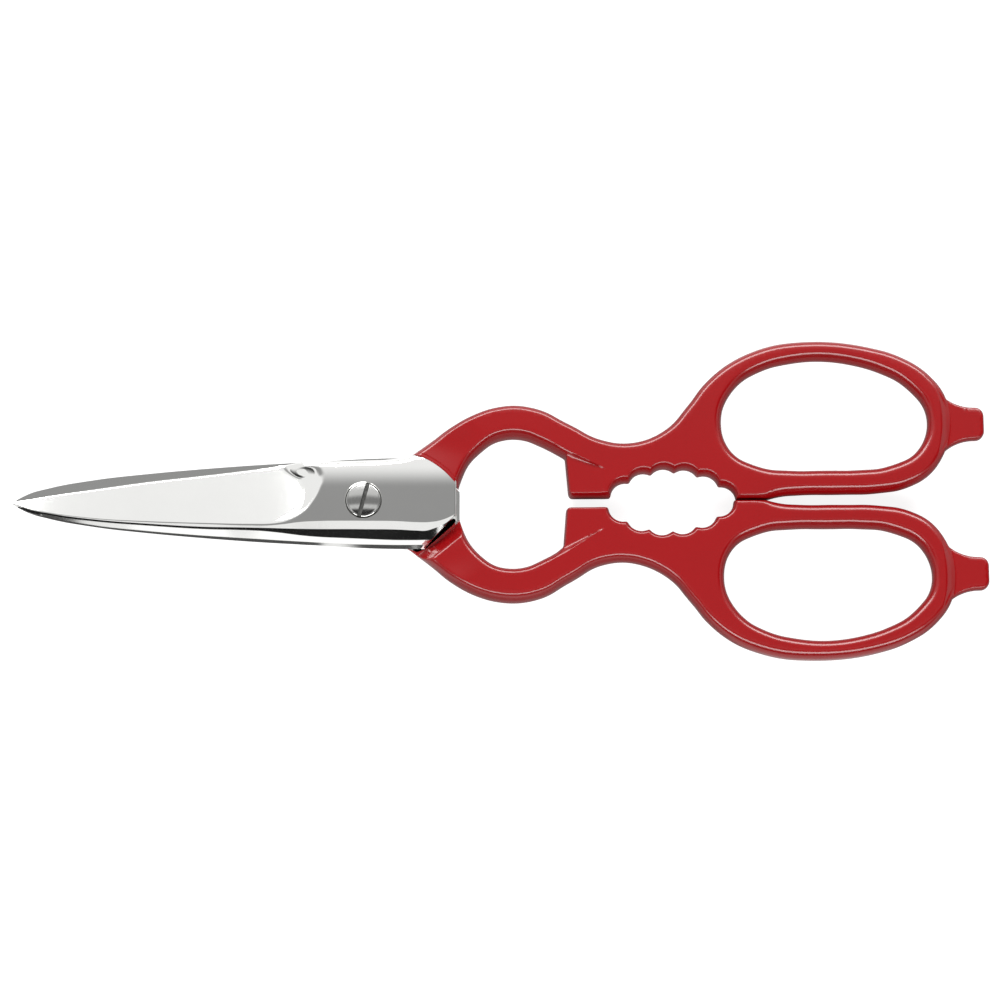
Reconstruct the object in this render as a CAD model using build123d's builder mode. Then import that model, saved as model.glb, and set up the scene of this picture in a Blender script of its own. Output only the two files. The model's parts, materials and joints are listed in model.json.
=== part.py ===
from build123d import *
import math
import os

# Forged kitchen shears, lying closed on a flat surface.
# X runs along the shears with the tips at -X, Y across them, Z up.
# The origin is under the middle of the closed shears, on the surface.
# Each half is drawn in its own plane: its origin is on the pivot axis at the mating face,
# local +Y is the side of its own handle, and local +Z is its outer face.

# Overall sizes
overall_length = 200.0
blade_reach = 72.2          # pivot to tip
bow_rise = 33.3             # handle line to the outer side of a finger bow
handle_turn = 0.45          # degrees that the pair of handles stands askew to the blades

# Handle
rib_thick = 7.5             # curved rib beside the eye
plate_thick = 6.0           # waist, lug and toothed edge
bow_thick = 5.4             # finger bow
coat_thick = 0.35           # red lacquer
rib_end_share = 0.29734     # of the handle's reach: where the rib starts to thin
waist_start_share = 0.38341
waist_end_share = 0.51643
bow_start_share = 0.64163

# Finger bow
bow_middle_share = 0.74178  # of the handle's reach: middle of the finger hole
hole_length_share = 0.33725
hole_height_share = 0.71171     # of the bow's rise
hole_middle_share = 0.53303

# Stub behind the finger bow
tang_thick = 3.0
tang_width = 6.8
tang_middle_share = 0.47147     # of the bow's rise
tang_root_share = 0.92332   # of the handle's reach: root inside the bow
tang_neck_share = 0.96244   # where the root's flare ends
tang_flare = 7.0            # how far the root spreads to each side
tang_corner = 1.8

# Serrated mouth
mouth_middle_share = 0.49218    # of the handle's reach
mouth_radius_share = 0.53754    # of the bow's rise: arc that the teeth stand on
mouth_depth_share = 0.19219     # of the bow's rise: handle line to the top of that arc
mouth_lean = 2.7            # degrees that the mouth leans towards the finger bow
tooth_count = 5
tooth_pitch = 15.3          # degrees
tooth_height = 1.0
jaw_shift = 0.5             # rear mouth stands this much nearer the pivot

# Lug beside the eye, and stop pads
lug_edge = 1.25             # handle line to the lug's long edge
lug_near_share = 0.32316    # of the handle's reach: corner of lug and rib
lug_root_share = 0.29129    # of the bow's rise: the same corner
lug_slant = 0.6             # how far the lug's near side leans
lug_corner = 0.8            # rounding of the lug's corner nearest the pivot
fin_lean = 20.0             # degrees that the rib's lower side runs on past the lug's corner
fin_length = 12.0
pad_far_share = 0.64632     # of the handle's reach: far end of the stop pad
pad_gap = 0.2               # between the stop pads when closed

# Boss
boss_thick = 3.5
boss_top = 8.95             # pivot line to the boss edge on the cutting side
boss_bottom = 9.5           # pivot line to the boss edge on the spine side
boss_end = 19.6             # pivot to the boss edge that looks into the eye
boss_corner = 6.8           # cut corner of the boss
boss_bevel_wide = 3.4
boss_bevel_high = 2.7
boss_ease = 1.1             # bevel on the cutting side
paint_radius = 17.4         # edge of the lacquer on the boss
paint_along = 4.7           # pivot to the middle of that edge's circle
paint_across = 6.7
lap_reach = 18.4            # pivot to the step where a handle takes its full thickness
lap_lean = 49.7             # degrees from the shears' length to the normal of that step
ride_gap = 0.06             # between the two mating faces

# Blade
heel_reach = 13.0           # pivot to the heel of the blade
shoulder_reach = 8.5        # pivot to where the shoulder meets the boss face
heel_thick = 2.4
edge_bevel = 0.55           # ground edge, across the blade
shoulder_top_share = 0.95   # of the boss's cutting side, at the shoulder
shoulder_share = 0.93       # of the boss's spine side, at the shoulder
spine_lip = 0.3             # square lip under the spine's bevel

# Pivot screw
head_width = 7.3
head_high = 1.0
head_sink = 0.45            # depth of the recess that the head sits in
recess_gap = 0.25           # around the head
head_round = 0.35
slot_wide = 0.8
slot_deep = 0.6
slot_lean = 14.5            # degrees
shank_width = 4.6
shank_gap = 0.05            # running gap of the front half on the shank, and under the head
shank_end = 0.15            # how far the shank stops short of the rear face

# Places along a handle, from the pivot
handle_reach = overall_length - blade_reach
rib_end = handle_reach * rib_end_share
waist_start = handle_reach * waist_start_share
waist_end = handle_reach * waist_end_share
bow_start = handle_reach * bow_start_share
bow_middle = handle_reach * bow_middle_share
hole_length = handle_reach * hole_length_share
tang_root = handle_reach * tang_root_share
tang_neck = handle_reach * tang_neck_share
mouth_middle = handle_reach * mouth_middle_share
lug_near = handle_reach * lug_near_share
pad_far = handle_reach * pad_far_share

# Places across a handle, from the line between the closed pair
hole_height = bow_rise * hole_height_share
hole_middle = bow_rise * hole_middle_share
tang_middle = bow_rise * tang_middle_share
mouth_radius = bow_rise * mouth_radius_share
mouth_depth = bow_rise * mouth_depth_share
lug_root = bow_rise * lug_root_share

# Pivot in the row's frame
pivot_x = blade_reach - overall_length / 2
pivot_y = -bow_middle * math.sin(math.radians(handle_turn))
pivot_z = rib_thick / 2
overrun = 1.0

outer_shares = [
    (0.067, 0.270), (0.106, 0.376), (0.138, 0.470), (0.170, 0.541), (0.210, 0.593),
    (0.246, 0.604), (0.283, 0.577), (0.331, 0.481), (0.379, 0.387), (0.416, 0.366),
    (0.451, 0.390), (0.488, 0.465), (0.524, 0.621), (0.548, 0.739), (0.584, 0.857),
    (0.645, 0.961), (0.728, 1.002), (0.813, 0.960), (0.861, 0.896), (0.910, 0.776),
    (0.936, 0.645), (0.946, 0.474), (0.934, 0.280), (0.910, 0.153), (0.871, 0.072),
    (0.822, 0.041), (0.765, 0.036), (0.700, 0.034), (0.671, 0.026),
]
eye_shares = [
    (0.150, 0.045), (0.158, 0.165), (0.170, 0.264), (0.187, 0.340), (0.210, 0.403),
    (0.235, 0.423), (0.259, 0.414), (0.283, 0.376), (0.308, 0.325),
]
boss_shares = [(0.0, 0.972), (0.270, 1.0), (0.505, 1.090), (0.710, 1.380)]
hole_shares = [
    (-1.0, -0.148), (-0.863, 0.477), (-0.575, 0.84), (-0.107, 1.0), (0.422, 0.865),
    (0.71, 0.641), (0.919, 0.3), (1.0, -0.063), (0.854, -0.722), (0.566, -0.958),
    (0.1, -1.0), (-0.436, -1.0), (-0.719, -0.882), (-0.863, -0.713),
]
# Along the blade from heel to tip: place, cutting edge, ridge, spine, thickness
blade_shares = [
    (0.00, 0.950, -0.600, -0.905, 1.00), (0.35, 0.670, -0.561, -0.758, 0.83),
    (0.70, 0.394, -0.379, -0.534, 0.62), (0.87, 0.223, -0.232, -0.342, 0.50),
    (0.94, 0.130, -0.126, -0.221, 0.42), (0.998, 0.040, 0.006, -0.010, 0.25),
]


def half_plane(side, turn=0):
    """Mating plane of a half: side 1 faces up with its handle at +Y, side -1 is turned over."""
    along = (math.cos(math.radians(turn)), math.sin(math.radians(turn)), 0)
    return Plane(origin=(pivot_x, pivot_y, pivot_z), x_dir=along, z_dir=(0, 0, side))


def upright(plane, along=0):
    """Plane across a half at a distance along it: local X is across, local Y is outward."""
    return Plane(origin=plane.from_local_coords((along, 0, 0)),
                 x_dir=plane.y_dir, z_dir=plane.x_dir)


def lengthwise(plane):
    """Plane along a half: local X runs along it, local Y towards its mating side."""
    return Plane(origin=plane.origin, x_dir=plane.x_dir, z_dir=plane.y_dir)


def spots(shares):
    return [(handle_reach * along, bow_rise * across) for along, across in shares]


def flow(points, closed=False):
    """Chain of tangent arcs through points, two arcs to a span. It returns the end directions."""
    stops = [Vector(*point) for point in points]
    if closed:
        stops = [stops[-1]] + stops + stops[:2]
    chords = [(b - a) for a, b in zip(stops, stops[1:])]
    ways = [(one.normalized() * two.length + two.normalized() * one.length).normalized()
            for one, two in zip(chords, chords[1:])]
    if closed:
        stops = stops[1:-1]
        chords = chords[1:-1]
    else:
        first, last = chords[0].normalized(), chords[-1].normalized()
        ways = ([first * (2 * first.dot(ways[0])) - ways[0]] + ways
                + [last * (2 * last.dot(ways[-1])) - ways[-1]])
    for start, end, chord, leave, arrive in zip(stops, stops[1:], chords, ways, ways[1:]):
        bend = 2 * (1 - leave.dot(arrive))
        push = chord.dot(leave + arrive)
        reach = chord.dot(chord) / (push + math.sqrt(push ** 2 + bend * chord.dot(chord)))
        near, far = start + leave * reach, end - arrive * reach
        joint = (near + far) / 2
        TangentArc(start, joint, tangent=leave)
        TangentArc(joint, end, tangent=far - near)
    return ways[0], ways[-1]


def mouth_spot(step, radius, shift):
    turn = math.radians(mouth_lean + step * tooth_pitch)
    return (mouth_middle - shift + radius * math.sin(turn),
            mouth_depth - mouth_radius + radius * math.cos(turn))


def handle_outline(shift):
    """Outline of rib, waist, lug, mouth and bow, without the finger hole. It returns the
    lug's corner nearest the pivot."""
    outer = spots(outer_shares)
    pad_end = (pad_far, pad_gap / 2)
    flow(outer + [pad_end])
    reach = (tooth_count + 1) / 2
    steps = [step - reach for step in range(tooth_count + 1)]
    first = Vector(*mouth_spot(-reach, mouth_radius, shift))
    last = Vector(*mouth_spot(reach, mouth_radius, shift))
    Polyline(pad_end, (last.X, pad_gap / 2), last)
    for step in steps:
        ThreePointArc(mouth_spot(step, mouth_radius, shift),
                      mouth_spot(step + 1 / 2, mouth_radius + tooth_height, shift),
                      mouth_spot(step + 1, mouth_radius, shift))
    eye = spots(eye_shares)
    flow(eye)
    near = lug_near - shift
    lug_tip = Vector(near + lug_slant, lug_edge)
    Polyline(first, (first.X, lug_edge), lug_tip, (near, lug_root), eye[-1])
    Line(eye[0], outer[0])
    return lug_tip


def thickness_profile(inset):
    """Side view of the handle: thick rib, thinner waist and thinner bow."""
    rib, waist, bow = (thick / 2 - inset for thick in (rib_thick, plate_thick, bow_thick))
    for way in (1, -1):
        Line((0, way * rib), (rib_end, way * rib))
        Spline((rib_end, way * rib), (waist_start, way * waist), tangents=((1, 0), (1, 0)))
        Line((waist_start, way * waist), (waist_end, way * waist))
        Spline((waist_end, way * waist), (bow_start, way * bow), tangents=((1, 0), (1, 0)))
        Line((bow_start, way * bow), (handle_reach, way * bow))
    Line((0, rib), (0, -rib))
    Line((handle_reach, bow), (handle_reach, -bow))


def bow_hole():
    flow([(bow_middle + hole_length / 2 * along, hole_middle + hole_height / 2 * up)
          for along, up in hole_shares], closed=True)


def tang_outline():
    """Stub with a flared root, drawn from inside the bow to the end of the shears."""
    half = tang_width / 2
    for way in (1, -1):
        neck = (tang_neck, tang_middle + way * half)
        TangentArc(neck, (tang_root, tang_middle + way * tang_flare), tangent=(-1, 0))
        Line(neck, (handle_reach, tang_middle + way * half))
    Line((handle_reach, tang_middle - half), (handle_reach, tang_middle + half))
    Line((tang_root, tang_middle - tang_flare), (tang_root, tang_middle + tang_flare))


def handle(side, inset):
    """Handle with its surface set in by a depth: nothing for the lacquer, its thickness
    for the steel under it."""
    plane = half_plane(side, handle_turn)
    shift = 0 if side > 0 else jaw_shift
    low_face = plate_thick / 2 - inset
    with BuildPart() as body:
        with BuildSketch(plane.offset(-rib_thick / 2)):
            with BuildLine():
                lug_tip = handle_outline(shift)
            make_face()
            fillet(vertices().sort_by_distance(lug_tip)[0], lug_corner)
            with BuildLine():
                bow_hole()
            make_face(mode=Mode.SUBTRACT)
            if inset:
                offset(amount=-inset)
        extrude(amount=rib_thick)
        with BuildSketch(lengthwise(plane)):
            with BuildLine():
                thickness_profile(inset)
            make_face()
        extrude(amount=bow_rise + overrun, both=True, mode=Mode.INTERSECT)

        # Lug faces, cut down to the waist's thickness beside the rib
        for face, way in ((low_face, 1), (-low_face, -1)):
            with BuildSketch(plane.offset(face)):
                with Locations(Location((lug_near - shift, lug_root + inset, 0), (0, 0, -fin_lean))):
                    Rectangle(fin_length, fin_length, align=(Align.MIN, Align.MAX))
            extrude(amount=way * rib_thick, mode=Mode.SUBTRACT)

        with BuildSketch(plane.offset(inset - tang_thick / 2)):
            with BuildLine():
                tang_outline()
            make_face()
            fillet(vertices().group_by(Axis.X)[-1], tang_corner)
            if inset:
                offset(amount=-inset)
        extrude(amount=tang_thick - inset * 2)

        # Half-lap that clears the other half's boss
        with BuildSketch(plane.offset(ride_gap / 2 + inset)):
            step = Vector(lap_reach + inset, 0).rotate(Axis.Z, lap_lean)
            with Locations(Location((step.X, step.Y, 0), (0, 0, lap_lean))):
                Rectangle(handle_reach, handle_reach, align=(Align.MAX, Align.CENTER))
        extrude(amount=-rib_thick, mode=Mode.SUBTRACT)
    return body.part


def bare_zone():
    """Everything on the blade's side of the lacquer's edge."""
    with Locations((paint_along, -paint_across)):
        Circle(paint_radius)
        Rectangle(handle_reach, handle_reach, align=(Align.MAX, Align.CENTER))


def boss_outline():
    edge = Spline((-shoulder_reach, boss_top * shoulder_top_share),
                  *[(boss_end * along, boss_top * across) for along, across in boss_shares])
    heel = (-shoulder_reach, -boss_bottom * shoulder_share)
    Polyline(edge @ 1, (boss_end, (edge @ 1).Y), (boss_end, -boss_bottom),
             (paint_along, -boss_bottom), heel, edge @ 0)


def blade_sections():
    """Cross-sections from shoulder to tip, each with its distance from the pivot and the
    corners of its ground edge, broad face, bevel and lip of the spine."""
    high = boss_thick - ride_gap / 2
    shoulder_edge = boss_top * shoulder_top_share
    ridge = boss_bevel_wide - boss_bottom
    spine = -boss_bottom * shoulder_share
    sections = [(shoulder_reach, [(shoulder_edge, 0), (shoulder_edge, high), (ridge, high),
                                  (spine, high - boss_bevel_high), (spine, 0)])]
    for along, edge, ridge, spine, thick in blade_shares:
        bevel = edge_bevel * thick
        sections.append((heel_reach + (blade_reach - heel_reach) * along,
                         [(boss_top * edge, 0), (boss_top * edge - bevel, bevel),
                          (boss_bottom * ridge, heel_thick * thick),
                          (boss_bottom * spine, spine_lip * thick), (boss_bottom * spine, 0)]))
    return sections


def half(side):
    """Forged steel half: blade, boss and the core of its handle, in one piece."""
    plane = half_plane(side).offset(ride_gap / 2)
    high = boss_thick - ride_gap / 2
    with BuildPart() as body:
        with BuildSketch(plane):
            with BuildLine():
                boss_outline()
            make_face()
            chamfer(vertices().group_by(Axis.X)[-1].sort_by(Axis.Y)[0], boss_corner)
            with BuildSketch(mode=Mode.PRIVATE) as bare:
                bare_zone()
            add(bare.sketch, mode=Mode.INTERSECT)
        extrude(amount=high)

        # Long bevel along the spine side of the boss, and a short one along its other side
        with BuildSketch(upright(plane, -shoulder_reach)):
            for edge, wide, deep in ((-boss_bottom, boss_bevel_wide, boss_bevel_high),
                                     (boss_top, -boss_ease, boss_ease)):
                with BuildLine():
                    Polyline((edge + wide, high), (edge, high - deep), (edge, high), close=True)
                make_face()
        extrude(amount=boss_end + shoulder_reach, mode=Mode.SUBTRACT)

        # Blade, lofted from the shoulder to the tip
        for reach, corners in blade_sections():
            with BuildSketch(upright(plane, -reach)):
                with BuildLine():
                    Polyline(*corners, close=True)
                make_face()
        loft(ruled=True)

        add(handle(side, coat_thick))
        with Locations(half_plane(side).offset(boss_thick)):
            if side > 0:
                CounterBoreHole(shank_width / 2 + shank_gap, head_width / 2 + recess_gap, head_sink)
            else:
                Hole(shank_width / 2)
    return body.part


def coat(side, steel):
    """Lacquer over the handle, open where the boss comes out of it."""
    with BuildPart() as skin:
        add(handle(side, 0))
        with BuildSketch(half_plane(side).offset(-rib_thick)):
            bare_zone()
        extrude(amount=rib_thick * 2, mode=Mode.SUBTRACT)
        add(steel, mode=Mode.SUBTRACT)
    return skin.part


def screw():
    """Slotted screw that turns with the rear half and carries the front one."""
    plane = half_plane(1)
    seat = boss_thick - head_sink + shank_gap
    with BuildPart() as body:
        with BuildSketch(plane.offset(seat)):
            Circle(head_width / 2)
        extrude(amount=head_high)
        fillet(body.faces().sort_by(Axis.Z)[-1].edges(), head_round)
        with BuildSketch(plane.offset(shank_end - boss_thick)):
            Circle(shank_width / 2)
        extrude(amount=seat + boss_thick - shank_end)
        with BuildSketch(plane.offset(seat + head_high - slot_deep)):
            with Locations(Location((0, 0, 0), (0, 0, -slot_lean))):
                Rectangle(slot_wide, head_width + overrun)
        extrude(amount=slot_deep, mode=Mode.SUBTRACT)
    return body.part


os.makedirs("parts", exist_ok=True)

front_half = half(1)
front_half.label = "front_half"
export_step(front_half, "parts/front_half.step")

rear_half = half(-1)
rear_half.label = "rear_half"
export_step(rear_half, "parts/rear_half.step")

front_handle_coat = coat(1, front_half)
front_handle_coat.label = "front_handle_coat"
export_step(front_handle_coat, "parts/front_handle_coat.step")

rear_handle_coat = coat(-1, rear_half)
rear_handle_coat.label = "rear_handle_coat"
export_step(rear_handle_coat, "parts/rear_handle_coat.step")

pivot_screw = screw()
pivot_screw.label = "pivot_screw"
export_step(pivot_screw, "parts/pivot_screw.step")
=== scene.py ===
import json
import math

import bpy
import numpy as np
from mathutils import Matrix, Vector
from mathutils.geometry import delaunay_2d_cdt


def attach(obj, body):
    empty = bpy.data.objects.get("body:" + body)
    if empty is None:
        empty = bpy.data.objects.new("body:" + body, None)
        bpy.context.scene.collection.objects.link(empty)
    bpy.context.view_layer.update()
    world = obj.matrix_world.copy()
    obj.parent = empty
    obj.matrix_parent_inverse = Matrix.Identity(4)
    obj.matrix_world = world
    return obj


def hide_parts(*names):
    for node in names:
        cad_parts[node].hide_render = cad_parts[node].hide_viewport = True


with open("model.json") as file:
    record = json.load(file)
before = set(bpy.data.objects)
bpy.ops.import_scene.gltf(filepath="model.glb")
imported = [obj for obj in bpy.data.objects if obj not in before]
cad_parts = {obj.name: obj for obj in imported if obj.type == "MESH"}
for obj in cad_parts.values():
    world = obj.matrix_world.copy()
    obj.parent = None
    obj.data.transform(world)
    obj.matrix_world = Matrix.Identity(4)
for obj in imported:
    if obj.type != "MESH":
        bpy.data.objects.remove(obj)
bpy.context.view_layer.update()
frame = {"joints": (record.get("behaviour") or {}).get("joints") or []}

bl_info = {
    "name": "Kitchen shears",
    "version": (1, 0, 0),
    "blender": (4, 5, 0),
    "location": "View3D > Sidebar > Shears",
    "description": "Forged kitchen shears with lacquered handles, dressed over their packed frame",
    "category": "Add Mesh",
}

MM = 0.001
PIVOT = Vector(frame["joints"][0]["pos_m"])

# Outlines as shares: along is of the handle's reach, across of the finger bow's rise
OUTER_SHARES = [
    (0.067, 0.270), (0.106, 0.376), (0.138, 0.470), (0.170, 0.541), (0.210, 0.593),
    (0.246, 0.604), (0.283, 0.577), (0.331, 0.481), (0.379, 0.387), (0.416, 0.366),
    (0.451, 0.390), (0.488, 0.465), (0.524, 0.621), (0.548, 0.739), (0.584, 0.857),
    (0.645, 0.961), (0.728, 1.002), (0.813, 0.964), (0.861, 0.904), (0.910, 0.788),
    (0.937, 0.655), (0.946, 0.474), (0.934, 0.280), (0.910, 0.153), (0.871, 0.072),
    (0.822, 0.041), (0.765, 0.036), (0.700, 0.034), (0.671, 0.026),
]
EYE_SHARES = [
    (0.150, 0.045), (0.158, 0.165), (0.170, 0.264), (0.187, 0.340), (0.210, 0.403),
    (0.235, 0.423), (0.259, 0.414), (0.283, 0.376), (0.308, 0.325),
]
HOLE_SHARES = [
    (-0.979, -0.008), (-0.819, 0.550), (-0.546, 0.845), (-0.302, 0.950), (-0.100, 0.987),
    (0.086, 0.975), (0.278, 0.920), (0.506, 0.801), (0.780, 0.533), (0.986, -0.007),
    (0.896, -0.629), (0.580, -0.935), (0.293, -0.988), (0.0, -0.990), (-0.307, -0.990),
    (-0.595, -0.935), (-0.901, -0.623),
]
# How the two handles differ from that outline in mm: share along, front outside further
# out, rear outside further out, and the front eye's and mouth's edges nearer the middle
UNEVEN = np.array([
    (0.067, 0.00, 0.30, 0.00), (0.150, -0.25, 0.90, 0.20), (0.190, -0.15, 0.85, 0.85),
    (0.235, 0.00, 0.82, 0.65), (0.307, 0.00, 0.80, 0.55), (0.355, 0.10, 0.50, 0.45),
    (0.390, 0.00, 0.40, 0.45), (0.450, -0.36, 0.55, 0.50), (0.520, -0.52, 0.72, 0.50),
    (0.572, -0.33, 0.65, 0.40), (0.644, 0.00, 0.35, 0.00), (0.710, 0.00, 0.00, 0.00),
    (0.800, 0.00, 0.00, 0.00), (0.870, 0.30, 0.12, 0.00), (0.950, 0.20, 0.05, 0.00),
])
# By how many mm the front mouth's edge is nearer, and both lugs' edges further out
MOUTH_NEARER, LUG_UNEVEN = 0.5, {1: -0.4, -1: 0.2}
# The rib keeps its full thickness up to this line beside the lug, in mm from the pivot.
# The rear half's line lies further across by the lifts
LUG_RIDGE = np.array([(36.5, 13.1), (37.4, 12.6), (42.7, 9.64), (47.4, 7.35), (50.0, 6.1)])
REAR_LUG_LIFT = np.array([1.0, 1.0, 1.0, 0.3, 0.0])
# The slope from there to the waist: its width at two places along, and where it fades
SLOPE_WIDTHS, SLOPE_STARTS, SLOPE_ENDS = ([42.7, 47.4], [1.1, 0.25]), (37.8, 40.2), (47.5, 50.0)
# Other places, as shares of the reach along the handle
BOW_SOFTENS, RIB_TO_WAIST, WAIST_TO_BOW = (0.5, 0.63), (0.335, 0.425), (0.51643, 0.64163)
PAD_ALONG, LUG_NEAR, MOUTH_ALONG, STUB_ROOT, STUB_NECK = 0.64632, 0.32316, 0.49218, 0.92332, 0.9836
# Heights and a radius across it, as shares of the rise
LUG_ROOT, STUB_ACROSS, MOUTH_FLOOR, MOUTH_RADIUS = 0.29129, 0.47147, 0.19219, 0.53754
# Middle and size of the finger hole, as shares of both
HOLE_MIDDLE, HOLE_SIZE = (0.74178, 0.53303), (0.33725, 0.71171)
BOW_END = 22  # points of the outline up to the far end of the bow, where the handles differ
CORNER_END = 18.9  # pivot to the far end of the other half's corner, in mm
FACE_START, BLADE_END = -22, -12  # along: the boss's pattern of spots and the bevel's end
OUTLINE_STEP, CORNER_STEP = 0.22, 0.15  # mm between points of outlines and small arcs
OUTSIDE_FALL = 4  # how steeply a face falls outside its outline
CROWN_FADE = 12  # mm in which the boss's fullness dies away along the rib
CROWN_BEND, FACE_CENTRE = 6.5, -4  # mm that the face bends over, and where it stands highest
STUB_SOFT, WALL_SOFT, WALL_EDGE = 0.9, 0.35, 0.3  # creases and edge that are filled, in mm
RADIUS_EASING = 60  # how often the edge radii are averaged along the outline
BEVEL_SLOPE = 0.62  # rise of the ground cutting edge over its width
BATCH = 2000  # spots measured at a time, to save memory
# Rows of spots: across an edge's rounding as shares of it, and in mm beside a line
EDGE_ROWS = 1 - np.cos(np.linspace(0, math.pi / 2, 12))[2:]
PAINT_ROWS = (-0.5, -0.03, 0.0, 0.04, 0.09, 0.14, 0.2, 0.35, 0.55, 0.61, 0.68, 0.75, 0.82, 1.0)
LAP_ROWS = (-0.3, -0.2, -0.12, -0.05, 0.0, 0.05, 0.12, 0.2, 0.3, 0.45)
RIDGE_ROWS = (-0.34, -0.2, -0.1, -0.03, 0.03, 0.1, 0.2, 0.34)
# Cards that the steel mirrors: name, degrees from above, then m away, wide and high, its
# grey, how soft its near and far edges are as shares of its height, and degrees turned
CARDS = (
    ("grey_card", 13, 0.6, 1.3, 0.233, 0.335, 0.04, 0.42, 0),
    ("black_card", -65.5, 0.6, 2.6, 0.22, 0.012, 0.05, 0.05, 0),
    ("low_card", -81, 0.6, 2.6, 0.11, 0.08, 0.15, 0.1, 0),
    ("front_card", -19, 0.6, 1.8, 0.29, 0.03, 0.06, 0.06, 0),
    ("side_card", 48, 0.6, 0.5, 0.42, 0.02, 0.1, 0.1, -90),
)
TABLE_WHITE, MIRRORED_SHADOW_AND_WHITE = 0.88, (0.04, 0.75)  # glow that camera and mirrors see; for mirrors the first is a painted shadow close beside the handles, the second the table further off
# Blade and boss in mm from the pivot: places along, and how far across or high
CUTTING_EDGE = [
    (-71.9, 0.32), (-68.6, 0.86), (-64.5, 1.58), (-54.4, 3.10), (-43.9, 4.58), (-33.7, 5.76),
    (-23.4, 7.02), (-15.2, 8.17), (-12.6, 8.50),
]
SPINE = [
    (-71.9, -0.35), (-68.6, -2.10), (-64.5, -3.25), (-54.4, -5.07), (-43.9, -6.27),
    (-33.7, -7.20), (-19.3, -8.25), (-13.0, -8.60), (-8.5, -8.84), (-2.0, -9.25), (4.7, -9.50),
    (12.5, -9.50),
]
BOSS_EDGE = [(-12.6, 8.50), (-8.5, 8.50), (0.0, 8.70), (5.3, 8.95), (9.9, 9.76), (13.9, 12.35)]
BOSS_CORNER = [(12.5, -9.50), (12.9, -9.10), (18.75, -3.25)]
# Where the shoulder meets the boss's face: across, along
SHOULDER_LINE = [
    (-6.5, -19.0), (-5.2, -17.2), (-4.3, -15.2), (-3.1, -13.1), (-2.0, -11.7), (-0.5, -10.5),
    (1.2, -9.4), (2.9, -8.6), (4.3, -8.1), (5.4, -8.0), (6.5, -8.3), (7.6, -8.9), (9.0, -10.0),
]
# Lines that part the facets of the spine side. First the two sides of the face's narrow
# lower border: along, across, across, height
FACE_SIDES = [
    (-71.9, 0.08, 0.04, 0.22), (-68.6, -1.22, -1.28, 0.66), (-64.5, -2.07, -2.14, 0.98),
    (-54.4, -3.44, -3.58, 1.50), (-43.9, -4.10, -4.30, 1.93), (-33.7, -4.50, -4.72, 2.30),
    (-23.4, -4.80, -5.10, 2.74), (-19.3, -4.82, -5.15, 2.94), (-16.2, -4.55, -4.92, 3.14),
    (-13.0, -4.25, -4.55, 3.34), (-8.5, -4.12, -4.35, 3.48), (-4.0, -4.10, -4.30, 3.50),
    (0.0, -4.10, -4.30, 3.50), (7.4, -4.20, -4.40, 3.50), (10.5, -4.38, -4.58, 3.50),
    (13.5, -4.38, -4.58, 3.50), (15.6, -4.07, -4.27, 3.50), (17.2, -3.50, -3.70, 3.50),
    (18.5, -2.85, -3.05, 3.50), (19.6, -2.20, -2.40, 3.50),
]
# All of them as along, across, height: those two, both sides of the wedge, and the foot
FACET_LINES = (
    [(x, y, z) for x, y, _, z in FACE_SIDES],
    [(x, y, z) for x, _, y, z in FACE_SIDES],
    [(-71.9, -0.02, 0.21), (-68.6, -1.36, 0.65), (-64.5, -2.26, 0.97), (-54.4, -3.72, 1.48),
     (-43.9, -4.62, 1.89), (-33.7, -5.28, 2.23), (-23.4, -5.58, 2.70), (-20.8, -5.66, 2.82),
     (-12.5, -5.95, 3.16), (0.0, -6.04, 3.31), (7.4, -6.14, 3.31), (10.5, -6.30, 3.30),
     (13.0, -6.32, 3.30), (14.6, -5.82, 3.32), (15.6, -5.46, 3.35), (16.6, -4.95, 3.375),
     (18.1, -3.75, 3.435), (19.6, -2.32, 3.47)],
    [(-71.9, -0.16, 0.15), (-68.6, -1.72, 0.40), (-64.5, -2.62, 0.70), (-54.4, -4.02, 1.25),
     (-43.9, -4.94, 1.65), (-33.7, -5.66, 1.94), (-23.4, -6.04, 2.35), (-20.8, -6.18, 2.42),
     (-17.7, -6.50, 2.40), (-12.5, -7.15, 2.22), (0.0, -7.75, 2.00), (7.4, -7.98, 1.85),
     (12.6, -7.98, 1.86), (14.0, -7.93, 1.90), (14.6, -7.33, 2.28), (15.6, -6.34, 2.79),
     (16.6, -5.33, 3.13), (18.1, -3.84, 3.38), (19.6, -2.35, 3.44)],
    [(-71.9, -0.24, 0.10), (-68.6, -1.90, 0.27), (-64.5, -3.00, 0.32), (-54.4, -4.76, 0.40),
     (-43.9, -5.88, 0.48), (-33.7, -6.74, 0.55), (-19.3, -7.68, 0.67), (-12.5, -8.05, 0.68),
     (0.0, -8.68, 0.80), (7.4, -8.84, 0.77), (12.2, -8.80, 0.78), (13.1, -8.80, 0.80),
     (13.5, -8.45, 1.20), (14.0, -7.96, 1.80), (14.6, -7.36, 2.20), (15.6, -6.37, 2.71),
     (16.6, -5.36, 3.05), (18.1, -3.87, 3.30), (19.6, -2.38, 3.36)],
)


def smooth(share):
    share = np.clip(share, 0, 1)
    return share * share * (3 - 2 * share)


def fade(low, high, x):
    """0 up to low and 1 from high on, with a smooth change between them."""
    return smooth((x - low) / (high - low))


def unit(way):
    return way / np.linalg.norm(way)


def rays(turns):
    """Unit directions for angles from the X axis."""
    return np.stack([np.cos(turns), np.sin(turns)], -1)


def turned(way, leans):
    """A direction turned anticlockwise by an angle, or by each of several."""
    cos, sin = np.cos(leans), np.sin(leans)
    return np.stack([way[0] * cos - way[1] * sin, way[0] * sin + way[1] * cos], -1)


def across_of(ways):
    return np.stack([-ways[:, 1], ways[:, 0]], 1)


def unit_rows(ways):
    return ways / np.linalg.norm(ways, axis=1)[:, None]


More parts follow.
